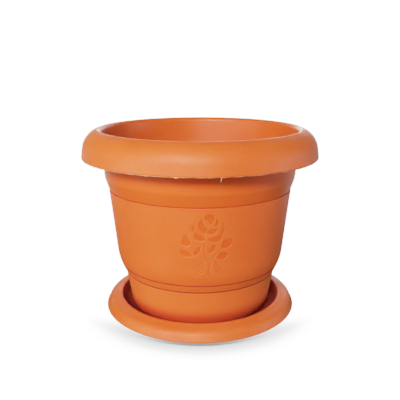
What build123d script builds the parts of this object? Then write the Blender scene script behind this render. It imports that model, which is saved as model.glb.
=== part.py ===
from build123d import *
from math import sqrt
import os

# A moulded plastic flower pot that stands loose in its own drip saucer.
# Millimetres. +Z is up, the origin is on the floor at the pot's axis, and the rose faces -Y.

# ---- driving dimensions ------------------------------------------------------------------

# pot: overall
POT_HEIGHT = 187.5        # from the underside of the base to the crest of the collar
MOUTH_RADIUS = 100.0      # inner edge of the mouth
WALL = 2.0                # moulded wall of the pot

# pot: rolled collar
COLLAR_WIDTH = 20.4       # from the mouth's inner edge to the outside of the lip
COLLAR_DROP = 27.5        # from the crest down to the lip's lower edge
COLLAR_FALL = 0.45        # fall of the collar's top for each mm outwards
COLLAR_SHOULDER = 22.0    # radius of the rounded shoulder
CREST_ROUND = 4.0         # radius of the roll at the mouth
SKIRT_DRAFT = 0.15        # spread of the skirt for each mm downwards

# pot: side, from the collar down
NECK_DRAFT = 0.089        # taper of the neck for each mm downwards
NECK_LENGTH = 48.3        # from the crest down to the sloping band
NECK_ROUND = 14.0         # soft bend where the neck turns into the band
BAND_HEIGHT = 12.6        # sloping band between the neck and the main wall
BAND_INSET = 3.75         # how far the band draws in
BAND_TURN = 3.8           # the band turns in more this far above the main wall
BAND_TURN_OUT = 0.8       # and stands this far outside the wall's top edge there
WALL_LEDGE = 0.9          # the main wall's top edge stands this proud of the band
WALL_DRAFT = 0.105        # taper of the main wall for each mm downwards
BOWL_TOP = 63.0           # height where the main wall begins to curve in
BOWL_INSET = 3.8          # how far it has curved in at the fine line
LINE_HEIGHT = 48.2        # the fine line, where the curve ends and a plain strip begins
LINE_WIDTH = 0.8
STRIP_INSET = 3.4         # how far the strip draws in, from the fine line to its lower edge
FOOT_HEIGHT = 40.4        # lower edge of the strip, and top of the foot
FOOT_STEP = 0.7           # the strip overhangs the foot by this much
NOTCH_DEPTH = 0.6         # shadow line cut into the top of the foot
NOTCH_HEIGHT = 2.2
FOOT_DRAFT = 0.17         # taper of the foot for each mm downwards

# pot: base
BASE_THICKNESS = 2.2
BASE_ROUND = 8.0          # rounded corner between foot and base
BASE_RECESS = 1.0         # the middle of the base is raised by this much
STAND_WIDTH = 22.0        # flat ring that the pot stands on
DRAIN_HOLES = 6
DRAIN_RADIUS = 5.0
DRAIN_CIRCLE = 28.0       # radius of the circle of drain holes

# saucer
SAUCER_WALL = 1.8
SAUCER_FLOOR = 2.0
SAUCER_GAP = 9.0          # between the pot's foot and the saucer's wall, at the floor
SAUCER_DEPTH = 14.4       # from the floor that it stands on to the rim's crest
SAUCER_DRAFT = 0.22       # spread of the inner wall for each mm upwards
SAUCER_CORNER = 3.0       # inner corner between floor and wall
CREST_WIDTH = 3.6         # narrow raised ring on the rim's crest
CREST_STEP = 0.5          # the dome begins this far below the crest
RIM_WIDTH = 17.0          # from the inner edge of the rim to the lip
RIM_FALL = 0.30           # fall of the dome for each mm outwards
RIM_SHOULDER = 8.0        # radius of the dome's outer curve
RIM_DRAFT = 0.42          # spread of the rim's outside for each mm downwards
LIP_CLEARANCE = 2.0       # the lip hangs this far above the floor
LIP_BEAD = 2.3            # height of the bead along the lip
LIP_BEAD_STEP = 0.35      # how far the bead stands proud
SEAT_HEIGHT = 1.0         # rings on the saucer's floor that carry the pot
SEAT_WIDTH = 2.0
SEAT_EDGE = 3.0           # from the stand ring's edge to the nearest seat ring

# rose, sunk into the main wall
ROSE_DEPTH = 0.3
ROSE_X = 3.0              # the rose's middle, to the right of the pot's centre line
ROSE_Z = 88.0             # height of the rose's middle above the pot's base
STEM_WIDTH = 1.3
RIB_WIDTH = 0.8           # ribs across the two feathered leaves
RIB_PITCH = 2.4

# ---- levels and radii worked out from them ----------------------------------------------

seat_z = SAUCER_FLOOR + SEAT_HEIGHT
crest_reach = COLLAR_FALL * sqrt(1 + NECK_DRAFT**2) + sqrt(1 + COLLAR_FALL**2)
crest_rise = CREST_ROUND * (crest_reach / (1 + COLLAR_FALL * NECK_DRAFT) - 1)
top_corner_z = POT_HEIGHT + crest_rise
lip_radius = MOUTH_RADIUS + COLLAR_WIDTH
lip_z = POT_HEIGHT - COLLAR_DROP
neck_z = POT_HEIGHT - NECK_LENGTH
neck_radius = MOUTH_RADIUS + WALL - NECK_DRAFT * NECK_LENGTH
band_z = neck_z - BAND_HEIGHT
wall_top_radius = neck_radius - BAND_INSET
bowl_top_radius = wall_top_radius - WALL_DRAFT * (band_z - BOWL_TOP)
line_radius = bowl_top_radius - BOWL_INSET
strip_foot_radius = line_radius - STRIP_INSET
foot_top_radius = strip_foot_radius - FOOT_STEP
foot_base_radius = foot_top_radius - FOOT_DRAFT * FOOT_HEIGHT
stand_radius = foot_base_radius - BASE_ROUND
recess_radius = stand_radius - STAND_WIDTH

# the collar's outer corner, where its falling top meets its drafted skirt
shoulder_drop = COLLAR_FALL * COLLAR_WIDTH
shoulder_radius = lip_radius - SKIRT_DRAFT * (top_corner_z - lip_z - shoulder_drop)
shoulder_z = top_corner_z - COLLAR_FALL * (shoulder_radius - MOUTH_RADIUS)
top_wall = WALL * sqrt(1 + COLLAR_FALL**2)
skirt_wall = WALL * sqrt(1 + SKIRT_DRAFT**2)
neck_top_radius = MOUTH_RADIUS + WALL
under_corner_z = top_corner_z - top_wall - COLLAR_FALL * WALL
under_shoulder_radius = shoulder_radius - skirt_wall
under_shoulder_z = shoulder_z - top_wall + COLLAR_FALL * skirt_wall

saucer_radius = foot_base_radius + SAUCER_GAP
rim_inner_radius = saucer_radius + SAUCER_DRAFT * (SAUCER_DEPTH - SAUCER_FLOOR)
rim_radius = rim_inner_radius + RIM_WIDTH
dome_radius = rim_inner_radius + CREST_WIDTH
dome_z = SAUCER_DEPTH - CREST_STEP
bead_z = LIP_CLEARANCE + LIP_BEAD
bead_radius = rim_radius - RIM_DRAFT * LIP_BEAD - LIP_BEAD_STEP
rim_corner_radius = (
    bead_radius + RIM_DRAFT * (bead_z - dome_z - RIM_FALL * dome_radius)
) / (1 - RIM_DRAFT * RIM_FALL)
rim_corner_z = dome_z - RIM_FALL * (rim_corner_radius - dome_radius)

pot_plane = Plane(origin=(0, 0, seat_z), x_dir=(1, 0, 0), z_dir=(0, -1, 0))


def wall_line(inset):
    """The main wall from its top edge down to the curve, moved inwards by inset."""
    return Line((wall_top_radius - inset, band_z), (bowl_top_radius - inset, BOWL_TOP))


def bowl_curve(inset):
    """The curve under the main wall, tangent to it, down to the fine line."""
    return TangentArc(
        (bowl_top_radius - inset, BOWL_TOP),
        (line_radius - inset, LINE_HEIGHT),
        tangent=(-WALL_DRAFT, -1),
    )


# ---- rose: one flat drawing ---------------------------------------------------------------

# Each panel is a list of corners, (x, z) from the rose's middle, and the bulge of the edge
# that leaves each corner: above 0 swells the panel, below 0 hollows it.
PETALS = [
    [(0.8, 27.4, 0.8), (3.0, 32.6, 0.7), (9.4, 32.2, 1.2), (9.6, 25.2, 0.8), (6.2, 23.4, -0.9)],   # heart
    [(-0.4, 30.2, -1.6), (4.4, 18.6, 0.2), (0.8, 13.4, 5.2)],                       # left petal
    [(2.0, 15.4, 0.2), (7.2, 19.3, -0.3), (13.8, 20.2, 4.6)],                       # front petal
    [(7.3, 21.4, -1.6), (11.0, 29.4, 0.6), (14.0, 26.0, 0.6), (13.4, 21.4, 0.4)],   # inner right
    [(3.4, 9.8, -5.6), (16.4, 25.0, 0.5), (19.4, 23.4, 1.0), (18.2, 12.6, 1.2),
     (13.4, 5.6, 2.0)],                                                             # right petal
    [(-7.4, 15.2, 0.4), (1.0, 11.4, 1.2), (1.0, 7.4, 1.2), (-7.6, 9.0, 1.2)],       # lower left
    [(-7.6, 24.2, -0.5), (-7.2, 17.0, 0.3), (-10.2, 16.2, 1.8)],                    # outer left
    [(-16.8, 14.0, 1.0), (-11.7, 6.4, 1.0), (-13.0, 2.6, 0.9), (-18.6, 2.6, 0.9),
     (-20.2, 6.4, 0.9)],                                                            # bud
]

# Plain leaves: stalk end, tip, and the swell of each side
LEAVES = [
    ((-9.6, -7.8), (-22.9, -1.6), 4.4, 2.4),
    ((-8.6, -8.4), (-2.0, 2.2), 3.0, 2.2),
    ((4.6, -5.2), (10.8, 4.2), 1.8, 3.6),
    ((15.8, -1.0), (27.2, 9.2), 4.2, 4.6),
    ((11.8, -10.4), (23.4, -5.4), 3.8, 4.2),
]

# Stems: points from the flower downwards
STEMS = [
    [(1.6, 5.2), (0.8, -2.6), (2.0, -9.0), (4.6, -15.0), (5.8, -21.0), (6.0, -29.2)],
    [(14.6, -3.2), (10.4, -7.4), (7.8, -13.0), (6.6, -18.6)],
]

# Feathered leaves: top, tip, swell of each side, and the slant of the ribs in degrees
FEATHERS = [
    ((1.8, -12.6), (-6.4, -30.6), 3.2, 5.4, 35),
    ((9.8, -12.8), (15.8, -29.6), 4.6, 3.2, -35),
]


def panel(corners):
    """A closed panel with bulging edges."""
    points = [(x, z) for x, z, bulge in corners]
    with BuildLine() as edge:
        for index, (x, z, bulge) in enumerate(corners):
            SagittaArc((x, z), points[(index + 1) % len(points)], bulge)
    make_face(edge.edges())


def leaf(stalk, tip, left, right):
    """A pointed leaf between its stalk end and its tip."""
    panel([(*stalk, left), (*tip, right)])


feathers = []
for top, tip, left, right, slant in FEATHERS:
    with BuildSketch() as feather:
        leaf(top, tip, left, right)
        length = abs(top[1] - tip[1])
        with Locations(((top[0] + tip[0]) / 2, (top[1] + tip[1]) / 2)):
            with GridLocations(0, RIB_PITCH, 1, int(length / RIB_PITCH)):
                Rectangle(length, RIB_WIDTH, rotation=slant, mode=Mode.SUBTRACT)
    feathers.append(feather.sketch)

with BuildSketch(pot_plane.shift_origin((ROSE_X, 0, seat_z + ROSE_Z))) as rose:
    for petal in PETALS:
        panel(petal)
    for stalk, tip, left, right in LEAVES:
        leaf(stalk, tip, left, right)
    for points in STEMS:
        with BuildLine() as stem:
            Spline(*points)
        trace(stem.line, line_width=STEM_WIDTH)
    add(feathers)

# the thin outer layer of the wall that the rose is sunk into
with BuildPart() as rose_cut:
    with BuildSketch(pot_plane):
        with BuildLine():
            face_line = wall_line(ROSE_DEPTH)
            face_curve = bowl_curve(ROSE_DEPTH)
            outside = wall_top_radius + COLLAR_WIDTH
            Polyline(face_curve @ 1, (outside, LINE_HEIGHT), (outside, band_z), face_line @ 0)
        make_face()
    revolve(axis=Axis.Z)
    extrude(rose.sketch, amount=outside, mode=Mode.INTERSECT)

# ---- pot ----------------------------------------------------------------------------------

with BuildPart() as pot:
    with BuildSketch(pot_plane):
        with BuildLine() as outline:
            # underside: raised middle, then the flat ring that it stands on
            base = Polyline(
                (0, BASE_RECESS),
                (recess_radius - BASE_RECESS, BASE_RECESS),
                (recess_radius, 0),
                (stand_radius, 0),
            )
            # outside, upwards
            foot_corner = (foot_base_radius + FOOT_DRAFT * BASE_ROUND, BASE_ROUND)
            base_curve = TangentArc(base @ 1, foot_corner, tangent=(1, 0))
            bowl = bowl_curve(0)
            Polyline(
                base_curve @ 1,
                (foot_top_radius - FOOT_DRAFT * NOTCH_HEIGHT, FOOT_HEIGHT - NOTCH_HEIGHT),
                (foot_top_radius - NOTCH_DEPTH, FOOT_HEIGHT),
                (strip_foot_radius, FOOT_HEIGHT),
                bowl @ 1,
            )
            side = wall_line(0)
            # band, neck, and the underside of the collar, out to its lip
            under = FilletPolyline(
                side @ 0,
                (wall_top_radius - WALL_LEDGE, band_z + WALL_LEDGE),
                (wall_top_radius + BAND_TURN_OUT, band_z + BAND_TURN),
                (neck_radius, neck_z),
                (neck_top_radius, under_corner_z),
                (under_shoulder_radius, under_shoulder_z),
                (lip_radius - WALL, lip_z),
                radius=[0, BAND_TURN, NECK_ROUND, CREST_ROUND - WALL, COLLAR_SHOULDER - WALL],
            )
            Line(under @ 1, (lip_radius, lip_z))
            # top of the collar and the inside, back down to the axis
            inner_side = wall_line(WALL)
            FilletPolyline(
                (lip_radius, lip_z),
                (shoulder_radius, shoulder_z),
                (MOUTH_RADIUS, top_corner_z),
                (neck_radius - WALL, neck_z),
                inner_side @ 0,
                radius=[COLLAR_SHOULDER, CREST_ROUND, NECK_ROUND + WALL],
            )
            inner_bowl = bowl_curve(WALL)
            inner_corner = (foot_corner[0] - WALL, BASE_ROUND)
            inner_foot = Polyline(
                inner_bowl @ 1,
                (foot_top_radius - WALL, FOOT_HEIGHT),
                inner_corner,
            )
            floor_end = (stand_radius, BASE_THICKNESS)
            TangentArc(floor_end, inner_foot @ 1, tangent=(1, 0))
            Polyline(
                floor_end,
                (recess_radius, BASE_THICKNESS),
                (recess_radius - BASE_RECESS, BASE_THICKNESS + BASE_RECESS),
                (0, BASE_THICKNESS + BASE_RECESS),
                base @ 0,
            )
        make_face()
    revolve(axis=Axis.Z)

    # fine line around the bowl
    with BuildSketch(pot_plane):
        with Locations((line_radius, LINE_HEIGHT)):
            Circle(LINE_WIDTH / 2)
    revolve(axis=Axis.Z, mode=Mode.SUBTRACT)

    # drain holes through the raised middle of the base
    with Locations(pot_plane.origin):
        with PolarLocations(DRAIN_CIRCLE, DRAIN_HOLES):
            Cylinder(
                DRAIN_RADIUS,
                2 * (BASE_THICKNESS + BASE_RECESS),
                mode=Mode.SUBTRACT,
            )

    add(rose_cut.part, mode=Mode.SUBTRACT)

# ---- saucer -------------------------------------------------------------------------------

with BuildPart() as saucer:
    with BuildSketch(Plane.XZ):
        with BuildLine():
            # inside: floor, wall, crest ring, dome, lip
            inside = FilletPolyline(
                (0, SAUCER_FLOOR),
                (saucer_radius, SAUCER_FLOOR),
                (rim_inner_radius, SAUCER_DEPTH),
                (dome_radius, SAUCER_DEPTH),
                (dome_radius + CREST_STEP, dome_z),
                (rim_corner_radius, rim_corner_z),
                (bead_radius, bead_z),
                (bead_radius + LIP_BEAD_STEP, bead_z - LIP_BEAD_STEP),
                (rim_radius, LIP_CLEARANCE),
                radius=[SAUCER_CORNER, CREST_WIDTH / 3, CREST_WIDTH / 3, 0, RIM_SHOULDER, 0, 0],
            )
            # underside: back under the dome and down to the flat foot
            foot_radius = saucer_radius + SAUCER_WALL - SAUCER_CORNER
            underside = FilletPolyline(
                (rim_radius - SAUCER_WALL, LIP_CLEARANCE),
                (rim_corner_radius - SAUCER_WALL, rim_corner_z - SAUCER_WALL),
                (dome_radius - CREST_STEP, dome_z - SAUCER_WALL),
                (rim_inner_radius + SAUCER_WALL, dome_z - SAUCER_WALL),
                (saucer_radius + SAUCER_WALL, SAUCER_FLOOR),
                (foot_radius, 0),
                (0, 0),
                radius=[RIM_SHOULDER - SAUCER_WALL, 0, CREST_STEP, 0, 0],
            )
            Line(inside @ 1, underside @ 0)
            Line(underside @ 1, inside @ 0)
        make_face()
    revolve(axis=Axis.Z)

    # two rings on the floor carry the pot clear of the water
    with BuildSketch(Plane.XY.offset(SAUCER_FLOOR)):
        for radius in (recess_radius + SEAT_EDGE, stand_radius - SEAT_EDGE - SEAT_WIDTH):
            Circle(radius + SEAT_WIDTH)
            Circle(radius, mode=Mode.SUBTRACT)
    extrude(amount=SEAT_HEIGHT)

# ---- export -------------------------------------------------------------------------------

os.makedirs("parts", exist_ok=True)

pot.part.label = "pot"
export_step(pot.part, "parts/pot.step")

saucer.part.label = "saucer"
export_step(saucer.part, "parts/saucer.step")
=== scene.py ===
# %% [markdown]
# # A moulded plastic flower pot standing in its saucer
# This lesson dresses a plain construction model. The model comes first and is fixed: it says
# where every piece is and how big it is. Each piece that shows is then rebuilt as a smooth
# mesh inside the same space, and gets a plastic finish made of nodes.

# %% Load the construction model
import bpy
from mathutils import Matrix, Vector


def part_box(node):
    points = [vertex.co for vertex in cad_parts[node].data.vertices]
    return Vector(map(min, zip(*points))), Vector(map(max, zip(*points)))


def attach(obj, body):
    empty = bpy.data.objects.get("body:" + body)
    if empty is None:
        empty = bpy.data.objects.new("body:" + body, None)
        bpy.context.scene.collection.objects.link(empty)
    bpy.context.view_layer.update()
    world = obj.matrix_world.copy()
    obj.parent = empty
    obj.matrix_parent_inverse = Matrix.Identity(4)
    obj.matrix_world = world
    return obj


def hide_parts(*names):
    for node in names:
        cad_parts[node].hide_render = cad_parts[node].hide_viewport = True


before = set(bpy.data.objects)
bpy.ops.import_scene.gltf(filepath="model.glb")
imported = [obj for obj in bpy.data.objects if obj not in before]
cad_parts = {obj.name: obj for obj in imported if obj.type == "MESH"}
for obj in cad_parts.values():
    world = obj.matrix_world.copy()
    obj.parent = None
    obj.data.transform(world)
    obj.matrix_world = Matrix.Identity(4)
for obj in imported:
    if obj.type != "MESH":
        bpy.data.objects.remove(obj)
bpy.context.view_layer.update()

# %% [markdown]
# ## Camera and studio
# The camera is set up before anything is modelled, so that each new piece is judged in the
# final view. It stands a little over half a metre from the pot and looks down into the mouth.
# A longer lens from further away would flatten the mouth's oval, so the distance matters.

# %% Camera
from math import cos, hypot, pi, radians, sin, tan

import bmesh
import bpy
import numpy as np
from mathutils import Matrix, Vector, noise

scene = bpy.context.scene
CAMERA_DISTANCE = 0.5486    # from the pot's axis
CAMERA_HEIGHT = 0.2541      # above the floor
CAMERA_TILT = 14.364        # degrees below level
CAMERA_LENS = 48.17         # millimetres, on a sensor 36 mm wide

camera_data = bpy.data.cameras.new("camera")
camera_data.lens = CAMERA_LENS
camera = bpy.data.objects.new("camera", camera_data)
camera.location = (0, -CAMERA_DISTANCE, CAMERA_HEIGHT)
camera.rotation_euler = (radians(90 - CAMERA_TILT), 0, 0)
scene.collection.objects.link(camera)
scene.camera = camera
print("camera at", tuple(round(v, 3) for v in camera.location))

# %% [markdown]
# ## Shader arithmetic
# A finish is a formula: colour and roughness worked out at each point of a surface. Wiring
# such a formula by hand takes dozens of lines, so a small class wraps a node's output, and
# ordinary arithmetic on it adds the Math nodes. Any other node comes from its add method.

# %% Shade: a node's output that can be calculated with
class Shade:
    """One output of a node in a material."""

    def __init__(self, tree, socket=None):
        self.tree = tree
        self.socket = socket

    def add(self, kind, settings, inputs, output=0):
        """Adds a node, sets it up, and feeds its inputs with values or other outputs."""
        node = self.tree.nodes.new(kind)
        for name, value in settings.items():
            if name == "stops":
                for element, (place, level) in zip(node.color_ramp.elements, value):
                    element.position = place
                    element.color = (level, level, level, 1)
            else:
                setattr(node, name, value)
        for name, value in inputs.items():
            if isinstance(value, Shade):
                self.tree.links.new(value.socket, node.inputs[name])
            else:
                node.inputs[name].default_value = value
        return Shade(self.tree, node.outputs[output])

    def math(self, operation, first, second):
        return self.add("ShaderNodeMath", {"operation": operation}, {0: first, 1: second})

    def __add__(self, other):
        return self.math("ADD", self, other)

    def __sub__(self, other):
        return self.math("SUBTRACT", self, other)

    def __rsub__(self, other):
        return self.math("SUBTRACT", other, self)

    def __mul__(self, other):
        return self.math("MULTIPLY", self, other)

    __radd__ = __add__
    __rmul__ = __mul__

    def between(self, low, high):
        """0 below low, 1 above high, and smooth in between."""
        settings = {"interpolation_type": "SMOOTHSTEP"}
        return self.add("ShaderNodeMapRange", settings, {"Value": self, "From Min": low, "From Max": high})


print("shader arithmetic ready")

# %% [markdown]
# ## The plastic
# The pot and its saucer are one coloured plastic, but the mould gives it different skins.
# The main wall was pressed against a finely blasted mould, so it is matt and a little paler.
# The collar and the saucer are satin, with a slow waviness that shows in the highlights. The
# neck, the sloping band, the foot and the inside are smoother still. In folds and gaps the
# light has already bounced off the same plastic, so they get a painted shade, a deeper red;
# the grooves and the saucer's inside get a darker painted shade still. The strip and the foot
# are a little paler, a painted light for light thrown up from below, and the edges of the
# rose's panels carry a painted highlight. One recipe makes all of them, and each skin is a
# different set of amounts.

# %% The plastic's recipe
CLAY_ORANGE = (0.76, 0.138, 0.020)
BRIGHT_ORANGE = (0.80, 0.142, 0.020)
PALE_ORANGE = (0.79, 0.18, 0.038)
# painted shade: the deeper red put into folds and gaps, where shade falls
PAINTED_SHADE_RED = (0.54, 0.045, 0.003)
PAINTED_SHADE_REACH = 0.024          # how near the next surface is, in metres, where the painted shade of a fold starts
SHADE_REACH = 0.055         # the same, for the painted shade below the overhanging collar
PAINTED_SHADE_LEVELS = (0.38, 0.76)  # the open share of a place's surroundings: full painted shade, no painted shade
FOLD_ROUGHNESS = 0.4        # a fold shines less
WEAR = 0.12                 # how far handling changes the roughness
RIM_HIGHLIGHT = 0.55         # painted highlight: how far the edges of the rose's panels are drawn to the pale colour
IOR = 1.49
SCATTERED = 0.3             # the share of light that enters the plastic and comes out close by
SCATTER_REACH = (0.005, 0.0012, 0.0005)  # metres, for red, green and blue


def plastic(name, colour, pale, roughness, grain=0.0, waves=0.0, blush=0.25, pressed=None,
            painted_shade=PAINTED_SHADE_RED, reach=PAINTED_SHADE_REACH):
    """A plastic skin. grain and waves are bump heights in millimetres.

    pale and blush say which colour the pigment drifts to and how far, and pale is also the
    colour of the painted highlight on the edges of the rose's panels. pressed is the colour of
    the panels of the rose, whose skin is smoother than the wall's. painted_shade is the colour
    of the painted shade in folds and gaps, and reach is how near the other side of such a gap
    is, in metres.
    """
    material = bpy.data.materials.new(name)
    material.use_nodes = True
    tree = material.node_tree
    shader = tree.nodes["Principled BSDF"]
    start = Shade(tree)
    place = start.add("ShaderNodeTexCoord", {}, {}, "Object")

    def clouds(size, detail=2.0, vector=place):
        """Soft noise whose blotches are about size millimetres across."""
        inputs = {"Vector": vector, "Scale": 1000 / size, "Detail": detail}
        return start.add("ShaderNodeTexNoise", {}, inputs, "Fac")

    def blend(amount, first, second):
        settings = {"data_type": "RGBA"}
        return start.add("ShaderNodeMix", settings, {0: amount, 6: first, 7: second}, 2)

    # colour: slow drifts in the pigment, then pale scuffs
    drift = clouds(60).between(0.3, 0.7)
    mottle = clouds(4, 4).between(0.35, 0.75)
    scuffs = clouds(1.2, 3).between(0.66, 0.74) * clouds(25).between(0.5, 0.7)
    amount = drift * blush + mottle * (blush * 0.5) + scuffs * 0.25
    tint = blend(amount, (*colour, 1), (*pale, 1))

    # roughness: handled places are a little smoother
    wear = clouds(18, 3).between(0.3, 0.7)
    rough = (wear + scuffs) * WEAR + (roughness - WEAR / 2)

    # bump: the blasted grain, and the slow waves of a cooling wall
    fine = clouds(0.7, 3) * grain

    # pressed panels: a deeper colour, a smoother skin, and a painted highlight, a pale line along the edge
    if pressed:
        depth = start.add("ShaderNodeAttribute", {"attribute_name": "rose"}, {}, "Fac")
        rim_highlight = start.add("ShaderNodeAttribute", {"attribute_name": "rim_highlight"}, {}, "Fac")
        tint = blend(rim_highlight * RIM_HIGHLIGHT, blend(depth, tint, (*pressed, 1)), (*pale, 1))
        rough = rough - depth * 0.14
        fine = fine * (1 - depth * 0.8)

    # painted shade in folds and gaps: a deeper red where little of the surroundings is open air
    if painted_shade:
        open_air = start.add("ShaderNodeAmbientOcclusion", {"samples": 12}, {"Distance": reach}, "AO")
        unshaded = open_air.between(*PAINTED_SHADE_LEVELS)
        tint = blend(unshaded, (*painted_shade, 1), tint)
        rough = rough + (1 - unshaded) * FOLD_ROUGHNESS

    tree.links.new(tint.socket, shader.inputs["Base Color"])
    tree.links.new(rough.socket, shader.inputs["Roughness"])
    height = fine + clouds(22, 1) * waves
    bump = start.add("ShaderNodeBump", {}, {"Height": height, "Distance": 0.001, "Strength": 1.0}, "Normal")
    tree.links.new(bump.socket, shader.inputs["Normal"])

    shader.inputs["IOR"].default_value = IOR
    shader.inputs["Subsurface Weight"].default_value = SCATTERED
    shader.inputs["Subsurface Radius"].default_value = SCATTER_REACH
    shader.inputs["Subsurface Scale"].default_value = 1.0
    return material


satin = plastic("satin_plastic", CLAY_ORANGE, PALE_ORANGE, 0.53, grain=0.006, waves=0.25, blush=0.5)
matt = plastic(
    "matt_plastic", BRIGHT_ORANGE, (0.82, 0.185, 0.04), 0.52, grain=0.03, waves=0.12,
    pressed=(0.79, 0.122, 0.016))
polished = plastic(
    "polished_plastic", BRIGHT_ORANGE, PALE_ORANGE, 0.42, grain=0.004, waves=0.15, reach=SHADE_REACH)
inside = plastic("inside_plastic", (0.78, 0.130, 0.016), PALE_ORANGE, 0.42, grain=0.008, waves=0.2)
# painted light: the strip and the foot are paler, for light thrown up from below onto faces that look down
lower_painted_light = plastic("lower_painted_light_plastic", (0.80, 0.165, 0.030), (0.82, 0.20, 0.05), 0.44, grain=0.004, waves=0.15)
# painted shade: a near-black red for the faces in the grooves, where shade falls
painted_groove_shade = plastic("groove_painted_shade_plastic", (0.36, 0.026, 0.002), (0.40, 0.035, 0.003), 0.9, grain=0.01)
# painted shade: the saucer's inside takes a darker red where the pot's foot closes it in
well_painted_shade = plastic("well_painted_shade_plastic", CLAY_ORANGE, PALE_ORANGE, 0.6, grain=0.006, painted_shade=(0.34, 0.018, 0.001))
thin = plastic("thin_plastic", (0.90, 0.42, 0.22), (0.94, 0.60, 0.40), 0.6, grain=0.01, painted_shade=None)
print("finishes:", [m.name for m in (satin, matt, polished, inside, lower_painted_light, painted_groove_shade, well_painted_shade, thin)])

# %% [markdown]
# ## Outlines
# Both pieces are round, so each is a drawn outline spun about the upright axis. The drawing
# holds only the corners that the shape needs, with a rounding for each. Two helpers turn it
# into points: one rounds corners, the other leaves a line along a heading and curves to a
# given end. Moulded edges are never sharp, and a small rounding catches the light.

# %% Drawing helpers, in millimetres
MM = 0.001
ARC_STEP = 1.2              # length of one straight piece of a rounded corner
FEWEST_STEPS = 3
SIDE_SHARE = 0.7            # the most that a rounding may use up of each side of its corner
OUTLINE_STEP = 4.0          # spacing of points along long stretches
SPIN_STEPS = 160


def rounded(corners):
    """Points along a chain of (radius, height, rounding) corners."""
    places = [Vector(corner[:2]) for corner in corners]
    roundings = [corner[2] for corner in corners]
    points = [places[0]]
    for before, corner, after, rounding in zip(places, places[1:], places[2:], roundings[1:]):
        back = (before - corner).normalized()
        ahead = (after - corner).normalized()
        turn = pi - back.angle(ahead)
        if rounding == 0 or turn < 0.01:
            points.append(corner)
            continue
        reach = rounding * tan(turn / 2)
        reach = min(reach, SIDE_SHARE * (before - corner).length, SIDE_SHARE * (after - corner).length)
        centre = corner + (back + ahead).normalized() * (reach / sin(turn / 2))
        first = corner + back * reach - centre
        side = 1 if first.x * (corner - centre).y > first.y * (corner - centre).x else -1
        steps = max(FEWEST_STEPS, round(rounding * turn / ARC_STEP))
        for step in range(steps + 1):
            points.append(centre + Matrix.Rotation(side * turn * step / steps, 2) @ first)
    return points + [places[-1]]


def curve(start, heading, end, steps):
    """Points after start on the arc that leaves it along heading and reaches end."""
    start, end = Vector(start), Vector(end)
    normal = Vector((-heading[1], heading[0])).normalized()
    chord = end - start
    radius = chord.length_squared / (2 * normal.dot(chord))
    centre = start + normal * radius
    angle = (start - centre).angle_signed(end - centre)
    turns = [Matrix.Rotation(-angle * step / steps, 2) for step in range(1, steps + 1)]
    return [centre + turn @ (start - centre) for turn in turns]


def graded(points, spacing=OUTLINE_STEP, hold=0.35):
    """Splits long stretches, with an extra point close to each end so that shading stays crisp."""
    finished = [points[0]]
    for start, end in zip(points, points[1:]):
        length = (end - start).length
        if length < 0.01:
            continue
        stops = []
        if length > 4 * hold:
            count = max(1, round((length - 2 * hold) / spacing))
            stops = [hold + (length - 2 * hold) * step / count for step in range(count + 1)]
        finished += [start.lerp(end, stop / length) for stop in stops]
        finished.append(end)
    return finished


def spun(name, points, steps=SPIN_STEPS):
    """A closed shell: the outline, drawn from axis to axis, spun all the way round."""
    shell = bmesh.new()
    chain = [shell.verts.new((point.x * MM, 0, point.y * MM)) for point in points]
    edges = [shell.edges.new(pair) for pair in zip(chain, chain[1:])]
    bmesh.ops.spin(
        shell, geom=chain + edges, cent=(0, 0, 0), axis=(0, 0, 1), dvec=(0, 0, 0),
        angle=2 * pi, steps=steps, space=Matrix.Identity(4), use_merge=True, use_duplicate=False)
    bmesh.ops.remove_doubles(shell, verts=shell.verts, dist=0.01 * MM)
    bmesh.ops.recalc_face_normals(shell, faces=shell.faces)
    print(name, "spun:", len(points), "outline points,", len(shell.faces), "faces")
    return shell


def finished(name, shell, materials, body, slot_name):
    """Turns a bmesh into a smooth object that rides on a body of the construction model."""
    mesh = bpy.data.meshes.new(name)
    shell.to_mesh(mesh)
    shell.free()
    mesh.shade_smooth()
    for material in materials:
        mesh.materials.append(material)
    piece = bpy.data.objects.new(name, mesh)
    scene.collection.objects.link(piece)
    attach(piece, body)
    return piece


# %% [markdown]
# ## The pot's outline
# The collar is hollow below: its skin rolls out from the mouth, over a wide shoulder and down
# to a thin lip. Under it a short neck and a sloping band lead to the long main wall, with a
# narrow groove between band and wall. Low down the wall curves in to a fine line, and below
# that a plain strip overhangs the foot. The outside is drawn upwards, then the inside
# downwards, one wall away.

# %% Pot outline
pot_low, pot_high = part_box("pot")
POT_Z = pot_low.z / MM                           # the pot stands on the saucer's rings
POT_HEIGHT = (pot_high.z - pot_low.z) / MM
LIP_RADIUS = (pot_high.x - pot_low.x) / 2 / MM
WALL = 2.0
COLLAR_WIDTH = 20.4
MOUTH_RADIUS = LIP_RADIUS - COLLAR_WIDTH
LIP_HEIGHT = POT_HEIGHT - 27.5
NECK_DRAFT = 0.089
NECK_LENGTH = 48.3
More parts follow.
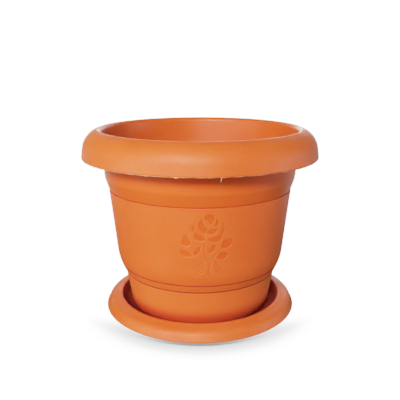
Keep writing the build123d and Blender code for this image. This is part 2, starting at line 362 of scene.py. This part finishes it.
# Corners of the outline are (radius, height above the pot's base).
NECK = (MOUTH_RADIUS + WALL - NECK_DRAFT * NECK_LENGTH, POT_HEIGHT - NECK_LENGTH)
BAND_FOOT = (NECK[0] - 3.75, NECK[1] - 12.6)
BAND_TURN = (BAND_FOOT[0] + 0.8, BAND_FOOT[1] + 3.8)
BAND_TUCK = (BAND_FOOT[0] + 0.1, BAND_FOOT[1] + 1.7)
GROOVE_DEPTH = 1.0          # shadow groove between the band's foot and the main wall
GROOVE_SLOPE = 0.25
WALL_DRAFT = 0.105
BOWL_TOP_HEIGHT = 63.0
BOWL_TOP = (BAND_FOOT[0] - WALL_DRAFT * (BAND_FOOT[1] - BOWL_TOP_HEIGHT), BOWL_TOP_HEIGHT)
BOWL_LINE = (BOWL_TOP[0] - 3.8, 48.2)
LINE_DEPTH = 0.6
LINE_WIDTH = 0.6
STRIP_FOOT = (BOWL_LINE[0] - 3.4, 40.4)
FOOT_TOP = (STRIP_FOOT[0] - 0.7, STRIP_FOOT[1])
NOTCH_DEPTH = 0.9
NOTCH_HEIGHT = 1.4
STRIP_TUCK = 0.45           # how far the strip's edge turns in over the notch
STRIP_EDGE = (0.35, 1.2)    # where that edge starts, out and up from the strip's foot
FOOT_DRAFT = 0.17
BASE_ROUND = 8.0
FOOT_LOW = (FOOT_TOP[0] - FOOT_DRAFT * (FOOT_TOP[1] - BASE_ROUND), BASE_ROUND)
STAND_RADIUS = FOOT_LOW[0] - FOOT_DRAFT * BASE_ROUND - BASE_ROUND
RECESS_RADIUS = STAND_RADIUS - 22.0
BASE = 2.2
RECESS = 1.0
ROLL = 4.0
SHOULDER = 22.0
FALL = 0.45
SKIRT_DRAFT = 0.15
ROLL_REACH = FALL * hypot(1, NECK_DRAFT) + hypot(1, FALL)
TOP_CORNER = POT_HEIGHT + ROLL * (ROLL_REACH / (1 + FALL * NECK_DRAFT) - 1)
SHOULDER_RADIUS = LIP_RADIUS - SKIRT_DRAFT * (TOP_CORNER - LIP_HEIGHT - FALL * COLLAR_WIDTH)
SHOULDER_HEIGHT = TOP_CORNER - FALL * (SHOULDER_RADIUS - MOUTH_RADIUS)
TOP_WALL = WALL * hypot(1, FALL)
SKIRT_WALL = WALL * hypot(1, SKIRT_DRAFT)
WALL_HEADING = (-WALL_DRAFT, -1)


def bowl(inset, steps):
    """The curve below the main wall, down to the fine line, moved in by inset."""
    top = (BOWL_TOP[0] - inset, BOWL_TOP[1])
    return [Vector(top)] + curve(top, WALL_HEADING, (BOWL_LINE[0] - inset, BOWL_LINE[1]), steps)


def outer_side():
    """The outside from the foot up to the neck, as (radius, height, rounding) corners."""
    notch_low = (FOOT_TOP[0] - FOOT_DRAFT * NOTCH_HEIGHT, FOOT_TOP[1] - NOTCH_HEIGHT)
    notch = (FOOT_TOP[0] - NOTCH_DEPTH, FOOT_TOP[1])
    along = (Vector(BOWL_LINE) - Vector(STRIP_FOOT)).normalized()
    line_low = Vector(BOWL_LINE) - along * LINE_WIDTH
    line_bottom = Vector(BOWL_LINE) + Vector((-along.y, along.x)) * LINE_DEPTH
    curved = bowl(0, 12)
    corners = [(*FOOT_LOW, 0), (*notch_low, 0.8), (*notch, 0.2)]
    corners.append((STRIP_FOOT[0] - STRIP_TUCK, STRIP_FOOT[1], 0.2))
    corners.append((STRIP_FOOT[0] + STRIP_EDGE[0], STRIP_FOOT[1] + STRIP_EDGE[1], 1.0))
    corners += [(*line_low, 0.4), (*line_bottom, 0.3), (*curved[-2], 0.4)]
    corners += [(*point, 0) for point in reversed(curved[:-2])]
    groove_bottom = (BAND_FOOT[0] - GROOVE_DEPTH, BAND_FOOT[1] + GROOVE_SLOPE)
    corners += [(*BAND_FOOT, 0.15), (*groove_bottom, 0.2), (*BAND_TUCK, 1.6), (*BAND_TURN, 3.8)]
    return corners + [(*NECK, 14.0)]


def pot_points():
    under_shoulder = (SHOULDER_RADIUS - SKIRT_WALL, SHOULDER_HEIGHT - TOP_WALL + FALL * SKIRT_WALL)
    collar = [
        (MOUTH_RADIUS + WALL, TOP_CORNER - TOP_WALL - FALL * WALL, ROLL - WALL),
        (*under_shoulder, SHOULDER - WALL),
        (LIP_RADIUS - WALL, LIP_HEIGHT, 0.5),
        (LIP_RADIUS, LIP_HEIGHT, 0.8),
        (SHOULDER_RADIUS, SHOULDER_HEIGHT, SHOULDER),
        (MOUTH_RADIUS, TOP_CORNER, ROLL),
        (NECK[0] - WALL, NECK[1], 16.0),
        (BAND_FOOT[0] - WALL, BAND_FOOT[1], 3.0),
    ]
    base_curve = curve((STAND_RADIUS, 0), (1, 0), FOOT_LOW, 8)
    inner_low = (FOOT_LOW[0] - WALL, BASE_ROUND)
    floor_curve = curve((STAND_RADIUS, BASE), (1, 0), inner_low, 8)
    chain = [(0, RECESS, 0), (RECESS_RADIUS - RECESS, RECESS, 0.5), (RECESS_RADIUS, 0, 0.5)]
    chain.append((STAND_RADIUS, 0, 0))
    chain += [(*point, 0) for point in base_curve[:-1]] + outer_side() + collar
    chain += [(*point, 0) for point in bowl(WALL, 8)]
    chain.append((FOOT_TOP[0] - WALL, FOOT_TOP[1], 2.0))
    chain += [(*point, 0) for point in reversed(floor_curve)]
    chain += [(STAND_RADIUS, BASE, 0), (RECESS_RADIUS, BASE, 0.5)]
    chain += [(RECESS_RADIUS - RECESS, BASE + RECESS, 0.5), (0, BASE + RECESS, 0)]
    return [point + Vector((0, POT_Z)) for point in graded(rounded(chain))]


pot_outline = pot_points()
print("pot outline:", len(pot_outline), "points, crest at", round(max(p.y for p in pot_outline), 2), "mm")

# %% [markdown]
# ## The rose
# A rose is sunk a third of a millimetre into the main wall. Its petals and leaves are shallow
# flat pools, and what is left between them reads as the drawn line. It is drawn flat, as
# panels with bulging edges, and the same drawing serves the construction model. Each panel
# becomes a field of distances, so every point of the wall knows how far inside a panel it lies.

# %% Rose drawing: corners are (across, up, bulge of the edge that leaves them)
ROSE_DEPTH = 0.3
ROSE_X = 3.0
ROSE_Z = 88.0
EDGE = 0.6                 # width of a panel's sloping edge
RIM_HIGHLIGHT_WIDTH = 0.5            # width of the painted highlight, a pale line around each panel
STEM_WIDTH = 1.3
RIB_WIDTH = 0.8
RIB_PITCH = 2.4

PETALS = [
    [(0.8, 27.4, 0.8), (3.0, 32.6, 0.7), (9.4, 32.2, 1.2), (9.6, 25.2, 0.8), (6.2, 23.4, -0.9)],
    [(-0.4, 30.2, -1.6), (4.4, 18.6, 0.2), (0.8, 13.4, 5.2)],
    [(2.0, 15.4, 0.2), (7.2, 19.3, -0.3), (13.8, 20.2, 4.6)],
    [(7.3, 21.4, -1.6), (11.0, 29.4, 0.6), (14.0, 26.0, 0.6), (13.4, 21.4, 0.4)],
    [(3.4, 9.8, -5.6), (16.4, 25.0, 0.5), (19.4, 23.4, 1.0), (18.2, 12.6, 1.2),
     (13.4, 5.6, 2.0)],
    [(-7.4, 15.2, 0.4), (1.0, 11.4, 1.2), (1.0, 7.4, 1.2), (-7.6, 9.0, 1.2)],
    [(-7.6, 24.2, -0.5), (-7.2, 17.0, 0.3), (-10.2, 16.2, 1.8)],
    [(-16.8, 14.0, 1.0), (-11.7, 6.4, 1.0), (-13.0, 2.6, 0.9), (-18.6, 2.6, 0.9),
     (-20.2, 6.4, 0.9)],
]
LEAVES = [
    ((-9.6, -7.8), (-22.9, -1.6), 4.4, 2.4),
    ((-8.6, -8.4), (-2.0, 2.2), 3.0, 2.2),
    ((4.6, -5.2), (10.8, 4.2), 1.8, 3.6),
    ((15.8, -1.0), (27.2, 9.2), 4.2, 4.6),
    ((11.8, -10.4), (23.4, -5.4), 3.8, 4.2),
]
STEMS = [
    [(1.6, 5.2), (0.8, -2.6), (2.0, -9.0), (4.6, -15.0), (5.8, -21.0), (6.0, -29.2)],
    [(14.6, -3.2), (10.4, -7.4), (7.8, -13.0), (6.6, -18.6)],
]
FEATHERS = [
    ((1.8, -12.6), (-6.4, -30.6), 3.2, 5.4, 35),
    ((9.8, -12.8), (15.8, -29.6), 4.6, 3.2, -35),
]


def bulging(corners, steps=8):
    """The closed outline of a panel, with each edge swollen into an arc."""
    points = []
    for (x, z, bulge), end in zip(corners, corners[1:] + corners[:1]):
        start = np.array((x, z))
        along = np.array(end[:2]) - start
        across = np.array((-along[1], along[0])) / np.hypot(*along)
        for step in range(steps):
            share = step / steps
            points.append(start + along * share + across * bulge * 4 * share * (1 - share))
    return np.array(points)


def depth_inside(points, outline):
    """How far each point lies inside a closed outline, below 0 outside it."""
    nearest = np.full(len(points), 1e9)
    within = np.zeros(len(points), bool)
    for start, end in zip(outline, np.roll(outline, -1, axis=0)):
        along = end - start
        share = np.clip((points - start) @ along / (along @ along), 0, 1)
        nearest = np.minimum(nearest, np.hypot(*(points - start - share[:, None] * along).T))
        crosses = (start[1] > points[:, 1]) != (end[1] > points[:, 1])
        rise = along[1] if along[1] else 1e-9
        within ^= crosses & (points[:, 0] < start[0] + (points[:, 1] - start[1]) * along[0] / rise)
    return np.where(within, nearest, -nearest)


def near_line(points, route, width):
    """How far each point lies inside a line of the given width through the route."""
    nearest = np.full(len(points), 1e9)
    for start, end in zip(route, route[1:]):
        along = np.subtract(end, start)
        share = np.clip((points - start) @ along / (along @ along), 0, 1)
        nearest = np.minimum(nearest, np.hypot(*(points - start - share[:, None] * along).T))
    return width / 2 - nearest


def rose_field(points):
    """How far points lie inside a panel, in millimetres; below 0 on the wall around it."""
    inside_any = np.full(len(points), -1e9)
    for corners in PETALS:
        inside_any = np.maximum(inside_any, depth_inside(points, bulging(corners)))
    for stalk, tip, left, right in LEAVES:
        inside_any = np.maximum(inside_any, depth_inside(points, bulging([(*stalk, left), (*tip, right)])))
    for route in STEMS:
        inside_any = np.maximum(inside_any, near_line(points, route, STEM_WIDTH))
    for top, tip, left, right, slant in FEATHERS:
        vane = depth_inside(points, bulging([(*top, left), (*tip, right)]))
        middle = (np.array(top) + tip) / 2
        slope = radians(slant)
        offset = (points - middle) @ np.array((-sin(slope), cos(slope)))
        rib = np.abs((offset / RIB_PITCH) % 1.0 - 0.5) * RIB_PITCH - RIB_WIDTH / 2
        inside_any = np.maximum(inside_any, np.minimum(vane, rib))
    return inside_any


print("rose:", len(PETALS) + len(LEAVES), "panels,", len(STEMS), "stems,", len(FEATHERS), "feathered leaves")

# %% [markdown]
# ## The pot
# The outline is spun, and the few faces under the rose are divided until they are fine enough
# to carry it. Their points are then laid on the true cone of the wall and pushed in by the
# rose's field. The field is kept on the mesh too, for the finish, with a painted highlight
# along the panels' edges. Last, each face gets the skin of its zone: the outside of the main
# wall is matt, the strip and the foot get a paler colour that is painted light, and the
# grooves get a painted shade, a dark red.

# %% Pot: spin, refine, press the rose in
ROSE_MARGIN = 4.0           # plain wall around the rose that is refined as well
ROSE_REACH_X = (-24.0, 28.5)
ROSE_REACH_Z = (-31.5, 34.0)
PATCH_CUTS = 9
SATIN, MATT, POLISHED, INSIDE, LOWER_PAINTED_LIGHT, GROOVE_SHADE = range(6)
COLLAR_ZONE = LIP_RADIUS - 17.0     # further in than this, a face is not the collar's
LEVEL = 0.8                         # upright share of the normal on a level face
# the heights that the fine line, the notch and the groove under the band take up; their faces get a painted
# shade
GROOVES = [
    (BOWL_LINE[1] - 0.6, BOWL_LINE[1] + 0.6),
    (FOOT_TOP[1] - NOTCH_HEIGHT, FOOT_TOP[1] + 0.4),
    (BAND_FOOT[1] + 0.05, BAND_FOOT[1] + 0.9),
]

shell = spun("pot", pot_outline)


def wall_radius(height):
    """Radius of the outside above the fine line, at a height above the pot's base."""
    straight = BOWL_TOP[0] + WALL_DRAFT * (height - BOWL_TOP[1])
    curved = bowl(0, 60)
    radii = np.interp(height, [p.y for p in reversed(curved)], [p.x for p in reversed(curved)])
    return straight if height > BOWL_TOP[1] else float(radii)


def faces_rose(place, margin):
    """True on the outside of the wall, within the rose's frame and a margin."""
    height = place.z / MM - POT_Z
    across = place.x / MM - ROSE_X
    up = height - ROSE_Z
    if place.y > 0 or not BOWL_LINE[1] + 1 < height < BAND_FOOT[1] - 1:
        return False
    outside = hypot(place.x, place.y) / MM > wall_radius(height) - WALL / 2
    fits_x = ROSE_REACH_X[0] - margin < across < ROSE_REACH_X[1] + margin
    return outside and fits_x and ROSE_REACH_Z[0] - margin < up < ROSE_REACH_Z[1] + margin


patch = [face for face in shell.faces if faces_rose(face.calc_center_median(), ROSE_MARGIN)]
patch_edges = list({edge for face in patch for edge in face.edges})
bmesh.ops.subdivide_edges(shell, edges=patch_edges, cuts=PATCH_CUTS, use_grid_fill=True)

depth_layer = shell.verts.layers.float.new("rose")
rim_highlight_layer = shell.verts.layers.float.new("rim_highlight")
pressed = [vert for vert in shell.verts if faces_rose(vert.co, ROSE_MARGIN + 4)]
flat = np.array([(v.co.x / MM - ROSE_X, v.co.z / MM - POT_Z - ROSE_Z) for v in pressed])
for vert, within in zip(pressed, rose_field(flat)):
    share = min(max(within / EDGE, 0), 1)
    depth = share * share * (3 - 2 * share)
    # painted highlight: a pale line just outside each panel's edge, where the edge catches the light
    rim_highlight = max(0, 1 - abs(within + RIM_HIGHLIGHT_WIDTH / 2) / RIM_HIGHLIGHT_WIDTH)
    radius = wall_radius(vert.co.z / MM - POT_Z) - ROSE_DEPTH * depth
    heading = Vector((vert.co.x, vert.co.y)).normalized() * radius * MM
    vert.co.x, vert.co.y = heading
    vert[depth_layer] = depth
    vert[rim_highlight_layer] = rim_highlight
shell.normal_update()


def skin_of(face):
    """The skin of a face of the pot, by where it is and which way it looks."""
    centre = face.calc_center_median()
    height = centre.z / MM - POT_Z
    radius = hypot(centre.x, centre.y) / MM
    outward = Vector((centre.x, centre.y, 0)).normalized().dot(face.normal) > 0
    in_groove = any(low < height < high for low, high in GROOVES) and radius > FOOT_TOP[0] - WALL / 2
    # painted shade on the faces in the grooves
    if in_groove and (outward or abs(face.normal.z) > LEVEL):
        return GROOVE_SHADE
    if not outward and radius < COLLAR_ZONE or height < BASE + WALL and face.normal.z > 0.5:
        return INSIDE
    if outward and BOWL_LINE[1] < height < BAND_FOOT[1] + 0.2:
        return MATT
    # painted light: the strip and the foot below the fine line get the paler skin
    if outward and height <= BOWL_LINE[1]:
        return LOWER_PAINTED_LIGHT
    return POLISHED if outward and radius < COLLAR_ZONE else SATIN


for face in shell.faces:
    face.material_index = skin_of(face)

pot_piece = finished("pot_shell", shell, [satin, matt, polished, inside, lower_painted_light, painted_groove_shade], "pot", "pot_plastic")
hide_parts("pot")
print("pot faces:", len(pot_piece.data.polygons), "refined points:", len(pressed))

# %% [markdown]
# ## Drain holes
# Holes are easiest to cut from the finished shell: a ring of short cylinders is taken away
# with a Boolean modifier. Its result becomes the pot's own mesh, so the cutter can go. The
# holes' edges would look soft under smooth shading, so edges with a steep turn are kept sharp.

# %% Drain holes
DRAIN_HOLES = 6
DRAIN_RADIUS = 5.0
DRAIN_CIRCLE = 28.0

cutter_shell = bmesh.new()
for index in range(DRAIN_HOLES):
    turn = Matrix.Rotation(2 * pi * index / DRAIN_HOLES, 4, "Z")
    place = turn @ Matrix.Translation((DRAIN_CIRCLE * MM, 0, (POT_Z + BASE / 2) * MM))
    bmesh.ops.create_cone(
        cutter_shell, cap_ends=True, segments=40, radius1=DRAIN_RADIUS * MM,
        radius2=DRAIN_RADIUS * MM, depth=4 * BASE * MM, matrix=place)
cutter_mesh = bpy.data.meshes.new("drain_cutter")
cutter_shell.to_mesh(cutter_mesh)
cutter_shell.free()
cutter = bpy.data.objects.new("drain_cutter", cutter_mesh)
scene.collection.objects.link(cutter)
drain = pot_piece.modifiers.new("drain", "BOOLEAN")
drain.operation = "DIFFERENCE"
drain.solver = "EXACT"
drain.object = cutter
whole_pot = pot_piece.data
cut_pot = bpy.data.meshes.new_from_object(pot_piece.evaluated_get(bpy.context.evaluated_depsgraph_get()))
pot_piece.modifiers.remove(drain)
pot_piece.data = cut_pot
cut_pot.name = "pot_shell"
cut_pot.set_sharp_from_angle(angle=radians(50))
bpy.data.objects.remove(cutter)
bpy.data.meshes.remove(cutter_mesh)
bpy.data.meshes.remove(whole_pot)
print("pot after drilling:", len(cut_pot.polygons), "faces, attributes", [a.name for a in cut_pot.attributes])

# %% [markdown]
# ## Flash and a thread on the lip
# Where the mould's halves meet, a little plastic leaks out and leaves a ragged, pale fringe
# under the lip. It is far too thin for the construction model. A ring of short edges is pulled
# down by uneven amounts and given a thickness. One longer thread of plastic hangs in front.

# %% Flash
FLASH_STEPS = 900
FLASH_HEIGHT = 0.8
FLASH_THICKNESS = 0.25
FLASH_ROOT = 0.25           # how far the flash reaches up into the lip
FLASH_INSET = 0.55          # from the lip's outer edge
FLASH_LEAST = 0.3
FLASH_LEFT = radians(235)   # azimuth where the raggedness is strongest, left of the front
FLASH_SPREAD = 1.3
FLASH_NOISE = [(9, 0, 0.35), (34, 2, 0.40), (110, 5, 0.45)]  # (scale, layer, share), coarse to fine
FLASH_WOBBLE = 0.0015
NIB = radians(260.6)        # one longer tooth
NIB_WIDTH = radians(0.9)
NIB_LENGTH = 0.9

fringe = bmesh.new()
ring = bmesh.ops.create_circle(fringe, segments=FLASH_STEPS, radius=(LIP_RADIUS - FLASH_INSET) * MM)["verts"]
bmesh.ops.translate(fringe, vec=(0, 0, (LIP_HEIGHT + POT_Z + FLASH_ROOT) * MM), verts=ring)
skirt = bmesh.ops.extrude_edge_only(fringe, edges=fringe.edges[:])
for vert in (item for item in skirt["geom"] if isinstance(item, bmesh.types.BMVert)):
    azimuth = np.arctan2(vert.co.y, vert.co.x) % (2 * pi)
    front = max(0.15, cos((azimuth - FLASH_LEFT) / FLASH_SPREAD))
    swings, ragged = [], FLASH_LEAST
    for scale, layer, share in FLASH_NOISE:
        swings.append(noise.noise(Vector((cos(azimuth), sin(azimuth), layer)) * scale))
        ragged += share * swings[-1]
    nib = NIB_LENGTH * max(0, 1 - abs(azimuth - NIB) / NIB_WIDTH)
    vert.co.z -= (FLASH_LEAST + min(FLASH_HEIGHT, max(0, ragged) * front) + nib) * MM
    vert.co.x *= 1 + FLASH_WOBBLE * swings[1]
    vert.co.y *= 1 + FLASH_WOBBLE * swings[1]
bmesh.ops.recalc_face_normals(fringe, faces=fringe.faces)
bmesh.ops.solidify(fringe, geom=fringe.faces[:], thickness=FLASH_THICKNESS * MM)
flash = finished("lip_flash", fringe, [thin], "pot", "pot_plastic")
print("flash faces:", len(flash.data.polygons))

# %% Thread: a ring of points drawn down and sideways in steps
THREAD_AZIMUTH = radians(278.7)
THREAD_INSET = 0.75         # from the lip's outer edge
THREAD_ROOT = 0.3
THREAD_LEAN = 0.22          # sideways for each millimetre down
THREAD_STEPS = [            # (drop, radius)
    (0.0, 0.6), (0.7, 0.5), (1.0, 0.4), (1.0, 0.36), (0.9, 0.38), (0.6, 0.34), (0.3, 0.2), (0.1, 0.05),
]

strand = bmesh.new()
top = Vector((cos(THREAD_AZIMUTH), sin(THREAD_AZIMUTH), 0)) * (LIP_RADIUS - THREAD_INSET) * MM
top.z = (LIP_HEIGHT + POT_Z + THREAD_ROOT) * MM
loop = bmesh.ops.create_circle(strand, cap_ends=True, segments=12, radius=THREAD_STEPS[0][1] * MM)["verts"]
bmesh.ops.translate(strand, vec=top, verts=loop)
foot = next(iter(strand.faces))
width = THREAD_STEPS[0][1]
centre = top.copy()
for drop, radius in THREAD_STEPS[1:]:
    grown = bmesh.ops.extrude_face_region(strand, geom=[foot])
    foot = next(item for item in grown["geom"] if isinstance(item, bmesh.types.BMFace))
    shift = Vector((-THREAD_LEAN * drop, 0, -drop)) * MM
    centre = centre + shift
    bmesh.ops.translate(strand, vec=shift, verts=foot.verts)
    bmesh.ops.scale(strand, vec=(radius / width,) * 3, space=Matrix.Translation(-centre), verts=foot.verts)
    width = radius
bmesh.ops.recalc_face_normals(strand, faces=strand.faces)
thread = finished("lip_thread", strand, [thin], "pot", "pot_plastic")
print("thread faces:", len(thread.data.polygons))

# %% [markdown]
# ## The saucer
# The saucer's rim rises to a narrow raised ring, then falls as a dome to a lip that hangs just
# clear of the floor, with a bead along its edge. Below, the rim is hollow. On its floor two
# low rings carry the pot, so that it never stands in the drained water.

# %% Saucer outline and shell
saucer_low, saucer_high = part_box("saucer")
RIM_RADIUS = (saucer_high.x - saucer_low.x) / 2 / MM
SAUCER_DEPTH = saucer_high.z / MM
SAUCER_WALL = 1.8
SAUCER_FLOOR = 2.0
SEAT_WIDTH = 2.0
SEAT_EDGE = 3.0
LIP_CLEARANCE = 2.0
SAUCER_DRAFT = 0.22
RIM_INNER = RIM_RADIUS - 17.0
SAUCER_INNER = RIM_INNER - SAUCER_DRAFT * (SAUCER_DEPTH - SAUCER_FLOOR)
RIDGE_WIDTH = 3.6           # the raised ring on top of the rim
RIDGE_HEIGHT = 0.5
RIDGE_FOOT = 0.5
DOME = (RIM_INNER + RIDGE_WIDTH, SAUCER_DEPTH - RIDGE_HEIGHT)
DOME_FALL = 0.30
RIM_DRAFT = 0.42
BEAD_HEIGHT = 2.3
BEAD_STEP = 0.35
BEAD = (RIM_RADIUS - RIM_DRAFT * BEAD_HEIGHT - BEAD_STEP, LIP_CLEARANCE + BEAD_HEIGHT)
DOME_START = DOME[1] + DOME_FALL * DOME[0]
RIM_CORNER_RADIUS = (BEAD[0] + RIM_DRAFT * (BEAD[1] - DOME_START)) / (1 - RIM_DRAFT * DOME_FALL)
RIM_CORNER = (RIM_CORNER_RADIUS, DOME[1] - DOME_FALL * (RIM_CORNER_RADIUS - DOME[0]))
RIM_SHOULDER = 8.0
WELL_TOP = 2.5              # the saucer's inside, with its darker painted shade, starts this far below the rim


def saucer_points():
    chain = [(0, 0, 0), (SAUCER_INNER + SAUCER_WALL - 3.0, 0, 0.6)]
    chain += [
        (SAUCER_INNER + SAUCER_WALL, SAUCER_FLOOR, 0.6),
        (RIM_INNER + SAUCER_WALL, DOME[1] - SAUCER_WALL, 0.5),
        (DOME[0] - RIDGE_FOOT, DOME[1] - SAUCER_WALL, 0.3),
        (RIM_CORNER[0] - SAUCER_WALL, RIM_CORNER[1] - SAUCER_WALL, RIM_SHOULDER - SAUCER_WALL),
        (RIM_RADIUS - SAUCER_WALL, LIP_CLEARANCE, 0.4),
        (RIM_RADIUS, LIP_CLEARANCE, 0.6),
        (BEAD[0] + BEAD_STEP, BEAD[1] - BEAD_STEP, 0.5),
        (*BEAD, 0.4),
        (*RIM_CORNER, RIM_SHOULDER),
        (DOME[0] + RIDGE_FOOT, DOME[1], 0.5),
        (DOME[0], SAUCER_DEPTH, 0.9),
        (RIM_INNER, SAUCER_DEPTH, 1.3),
        (SAUCER_INNER, SAUCER_FLOOR, 3.0),
    ]
    for start in (STAND_RADIUS - SEAT_EDGE - SEAT_WIDTH, RECESS_RADIUS + SEAT_EDGE):
        chain += [
            (start + SEAT_WIDTH, SAUCER_FLOOR, 0.3), (start + SEAT_WIDTH, POT_Z, 0.2),
            (start, POT_Z, 0.2), (start, SAUCER_FLOOR, 0.3),
        ]
    chain.append((0, SAUCER_FLOOR, 0))
    return graded(rounded(chain))


saucer_shell = spun("saucer", saucer_points())
# painted shade: the saucer's inside gets the well skin with its darker painted shade
for face in saucer_shell.faces:
    centre = face.calc_center_median()
    deep_inside = hypot(centre.x, centre.y) / MM < RIM_INNER and centre.z / MM < SAUCER_DEPTH - WELL_TOP
    face.material_index = 1 if deep_inside and centre.z / MM > SAUCER_FLOOR - 0.1 else 0
saucer_piece = finished("saucer_shell", saucer_shell, [satin, well_painted_shade], "saucer", "saucer_plastic")
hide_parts("saucer")
print("saucer faces:", len(saucer_piece.data.polygons))

# %% [markdown]
# ## Floor and light
# The floor sweeps up behind the pot in one curve, so no horizon shows. It glows only where the
# camera sees it, or it would light the pot from all sides, and the shadow under the saucer is a
# painted shadow in that glow. The main light is a large soft one, high in front and to the
# left. Weaker ones on each side and behind round the shape off, and a low warm one stands for
# light that the plastic throws back at itself.

# %% Floor
FLOOR_HALF = 3.0
BACKDROP_HEIGHT = 3.0
BACKDROP_ROUND = 1.8
WHITE_GLOW = 2.05           # just bright enough to show as pure white
DARKEST_GLOW = 0.1          # glow of the painted shadow where the saucer covers the floor wholly
FLOOR_WHITE = 0.08          # how much light the floor gives back to the pot
SHADOW_REACH = 0.065
SHADOW_LEVELS = (0.5, 1.0)  # the open share of the surroundings: darkest, white
SHADOW_FADE = (-0.12, -0.03)     # the shadow ends between these depths, in front of the axis
MIRRORED_FROM = (0.05, 0.4)      # behind these depths the backdrop glows in reflections too
MIRRORED_SHARE = 0.5

sweep = bmesh.new()
bmesh.ops.create_grid(sweep, x_segments=1, y_segments=1, size=FLOOR_HALF)
back = [edge for edge in sweep.edges if all(vert.co.y > 0 for vert in edge.verts)]
risen = bmesh.ops.extrude_edge_only(sweep, edges=back)
risen_verts = [item for item in risen["geom"] if isinstance(item, bmesh.types.BMVert)]
bmesh.ops.translate(sweep, vec=(0, 0, BACKDROP_HEIGHT), verts=risen_verts)
fold = [edge for edge in sweep.edges if all(abs(v.co.z) < MM and v.co.y > 0 for v in edge.verts)]
bmesh.ops.bevel(
    sweep, geom=fold, offset=BACKDROP_ROUND, offset_type="OFFSET", affect="EDGES", segments=24,
    profile=0.5, material=-1, clamp_overlap=True)
floor_mesh = bpy.data.meshes.new("floor")
sweep.to_mesh(floor_mesh)
sweep.free()
floor_mesh.shade_smooth()


def paper_shader(name):
    """White paper: glowing where it is seen, greyer where the saucer covers it, dim as a bounce."""
    material = bpy.data.materials.new(name)
    material.use_nodes = True
    tree = material.node_tree
    tree.nodes.clear()
    start = Shade(tree)
    place = start.add("ShaderNodeTexCoord", {}, {}, "Object")
    depth = start.add("ShaderNodeSeparateXYZ", {}, {"Vector": place}, "Y")
    glossy = start.add("ShaderNodeLightPath", {}, {}, "Is Glossy Ray")
    mirrored = glossy * depth.between(*MIRRORED_FROM) * MIRRORED_SHARE
    seen = start.add("ShaderNodeLightPath", {}, {}, "Is Camera Ray") + mirrored
    # painted shadow: the floor's glow dims where the saucer is near, and only in front of the axis
    open_air = start.add("ShaderNodeAmbientOcclusion", {"samples": 16}, {"Distance": SHADOW_REACH}, "AO")
    uncovered = open_air.between(*SHADOW_LEVELS)
    uncovered = uncovered.math("MAXIMUM", uncovered, depth.between(*SHADOW_FADE))
    bright = start.add("ShaderNodeEmission", {}, {"Color": (1, 1, 1, 1), "Strength": WHITE_GLOW})
    shaded = start.add("ShaderNodeEmission", {}, {"Color": (1, 1, 1, 1), "Strength": DARKEST_GLOW})
    shown = start.add("ShaderNodeMixShader", {}, {0: uncovered, 1: shaded, 2: bright})
    bounced = start.add("ShaderNodeBsdfDiffuse", {}, {"Color": (*[FLOOR_WHITE] * 3, 1)})
    paper = start.add("ShaderNodeMixShader", {}, {0: seen, 1: bounced, 2: shown})
    output = tree.nodes.new("ShaderNodeOutputMaterial")
    tree.links.new(paper.socket, output.inputs["Surface"])
    return material


floor_mesh.materials.append(paper_shader("white_paper"))
floor = bpy.data.objects.new("floor", floor_mesh)
scene.collection.objects.link(floor)
print("floor:", len(floor_mesh.polygons), "faces")

# %% Surroundings
SKY_LIGHT = 0.05            # what reaches the pot from all around
world = bpy.data.worlds.new("studio")
world.use_nodes = True
world.node_tree.nodes.clear()
sky = Shade(world.node_tree)
dim = sky.add("ShaderNodeBackground", {}, {"Color": (1, 1, 1, 1), "Strength": SKY_LIGHT})
white = sky.add("ShaderNodeBackground", {}, {"Color": (1, 1, 1, 1), "Strength": WHITE_GLOW})
looked_at = sky.add("ShaderNodeLightPath", {}, {}, "Is Camera Ray")
surroundings = sky.add("ShaderNodeMixShader", {}, {0: looked_at, 1: dim, 2: white})
world_output = world.node_tree.nodes.new("ShaderNodeOutputWorld")
world.node_tree.links.new(surroundings.socket, world_output.inputs["Surface"])
scene.world = world
print("surroundings:", len(world.node_tree.nodes), "nodes")

# %% Tone
# A camera's response flattens towards white instead of clipping, and this curve does the same.
RESPONSE = [(0.45, 0.45), (0.65, 0.60), (0.86, 0.69), (1.1, 0.76), (1.4, 0.83), (2.0, 1.0)]
BRIGHTEST = 4.0
view = scene.view_settings
view.view_transform = "Standard"
view.use_curve_mapping = True
view.curve_mapping.clip_max_x = BRIGHTEST
view.curve_mapping.clip_max_y = BRIGHTEST
combined = view.curve_mapping.curves[3]
combined.points[1].location = (BRIGHTEST, 1.0)
for place in RESPONSE:
    combined.points.new(*place)
view.curve_mapping.update()
print("tone curve points:", len(combined.points))

# %% Lights
WHITE = (1, 1, 1)
WARM = (1.0, 0.32, 0.16)
AIMED_AT = Vector((0, 0, 0.1))
SOFTBOXES = [               # (name, place, width, height, watts, tint)
    ("key", (-0.55, -1.62, 1.01), 1.0, 0.4, 44, WHITE),
    ("left", (-1.6, -0.9, 0.30), 1.1, 0.7, 14, WHITE),
    ("right", (1.8, -0.15, 0.22), 0.9, 0.4, 9, WHITE),
    ("back", (0.1, 1.8, 0.60), 1.6, 0.4, 9, WHITE),
    ("warm", (-0.1, -1.3, 0.06), 1.2, 0.3, 3.5, WARM),
]


def softbox(name, place, width, height, watts, tint):
    """A soft rectangular light that faces the pot's middle."""
    data = bpy.data.lights.new(name, "AREA")
    data.shape = "RECTANGLE"
    data.size = width
    data.size_y = height
    data.energy = watts
    data.color = tint
    light = bpy.data.objects.new(name, data)
    light.location = place
    light.rotation_euler = (AIMED_AT - Vector(place)).to_track_quat("-Z", "Y").to_euler()
    scene.collection.objects.link(light)
    return light


lights = [softbox(*values) for values in SOFTBOXES]
print("lights:", [light.name for light in lights])
